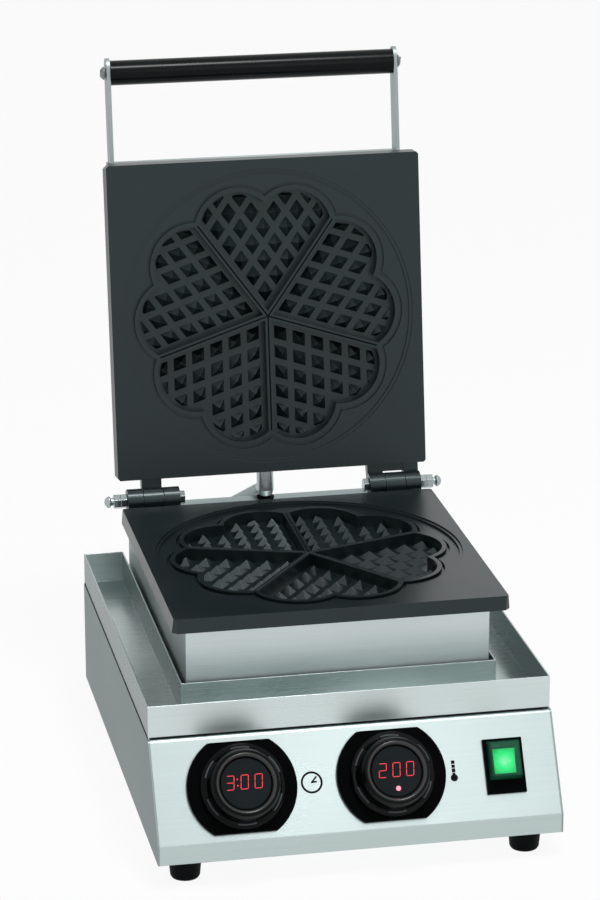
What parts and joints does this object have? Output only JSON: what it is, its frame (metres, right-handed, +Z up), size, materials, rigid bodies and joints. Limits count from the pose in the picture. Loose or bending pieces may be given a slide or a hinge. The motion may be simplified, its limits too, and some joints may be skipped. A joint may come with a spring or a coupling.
{
  "type": "waffle maker",
  "caption": "Counter-top heart-flower waffle maker with a sloped steel housing, U-shaped drip tray, cast baking plates and a hinged lid with a bar grip.",
  "frame": {"origin": "centre of the whole part's footprint, on the table under the feet", "axes": "+X to the user's right, +Y from the control panel to the back, +Z up"},
  "size_m": [0.3, 0.4486, 0.5191],
  "materials": {
    "housing_steel": "satin",
    "tray_steel": "polished",
    "casing_steel": "satin",
    "bar_steel": "satin",
    "plate_coating": "satin non-stick",
    "rubber_foot": "matte",
    "control_plastic": "matte",
    "display_window": "smoked",
    "switch_lens": "lit",
    "splash_cover": "clear green",
    "grip_plastic": "gloss",
    "bolt_steel": "polished",
    "hose_metal": "ribbed",
    "heater_metal": "oxidised",
    "insulation_wool": "matte",
    "circuit_board": "semi-matte",
    "ceramic_white": "matte",
    "gland_plastic": "matte"
  },
  "bodies": {
    "base": {"front_deck_panel": "housing_steel", "side_panel_left": "housing_steel", "side_panel_right": "housing_steel", "rear_panel": "housing_steel", "bottom_plate": "housing_steel", "foot_front_left": "rubber_foot", "foot_front_right": "rubber_foot", "foot_rear_left": "rubber_foot", "foot_rear_right": "rubber_foot", "foot_screws": "bolt_steel", "panel_screws": "bolt_steel", "lower_casing": "casing_steel", "heat_shield": "casing_steel", "lower_plate": "plate_coating", "lower_heater": "heater_metal", "lower_clamp_plate": "casing_steel", "lower_clamp_nuts": "bolt_steel", "lower_insulation": "insulation_wool", "lower_sensor": "heater_metal", "safety_thermostat": "ceramic_white", "hinge_bolts": "bolt_steel", "hinge_nuts": "bolt_steel", "hinge_cap_nuts": "bolt_steel", "lid_buffer": "rubber_foot", "timer_bezel": "control_plastic", "timer_display": "display_window", "timer_board": "circuit_board", "temperature_bezel": "control_plastic", "temperature_display": "display_window", "temperature_board": "circuit_board", "switch_frame": "control_plastic", "switch_cover": "splash_cover", "power_board": "circuit_board", "terminal_block": "ceramic_white", "mains_gland": "gland_plastic", "hose_gland": "bolt_steel", "conduit_hose": "hose_metal"},
    "lid": {"upper_plate": "plate_coating", "upper_casing": "casing_steel", "upper_heater": "heater_metal", "upper_clamp_plate": "casing_steel", "upper_clamp_nuts": "bolt_steel", "upper_insulation": "insulation_wool", "upper_sensor": "heater_metal", "handle_bar_left": "bar_steel", "handle_bar_right": "bar_steel", "handle_grip": "grip_plastic", "handle_rod": "heater_metal", "handle_bolts": "bolt_steel", "bar_screws": "bolt_steel", "hose_connector": "bolt_steel"},
    "timer_knob": {"timer_knob": "control_plastic"},
    "temperature_knob": {"temperature_knob": "control_plastic"},
    "switch_rocker": {"switch_rocker": "switch_lens"},
    "drip_tray": {"drip_tray": "tray_steel"}
  },
  "joints": [
    {"name": "lid_hinge", "type": "hinge", "parent": "base", "child": "lid", "pos_m": [0, 0.1261, 0.181], "axis": [1, 0, 0], "range_deg": [0, 98.4], "deforming": ["conduit_hose"]},
    {"name": "timer_turn", "type": "hinge", "parent": "base", "child": "timer_knob", "pos_m": [-0.0853, -0.20183, 0.07357], "axis": [0, -0.8601, 0.5101], "continuous": true},
    {"name": "temperature_turn", "type": "hinge", "parent": "base", "child": "temperature_knob", "pos_m": [0.0249, -0.20183, 0.07357], "axis": [0, -0.8601, 0.5101], "continuous": true},
    {"name": "switch_rock", "type": "hinge", "parent": "base", "child": "switch_rocker", "pos_m": [0.1096, -0.18774, 0.06987], "axis": [1, 0, 0], "range_deg": [-14, 0]},
    {"name": "tray_slide", "type": "slide", "parent": "base", "child": "drip_tray", "axis": [0, -1, 0], "range_m": [0, 0.3]}
  ]
}
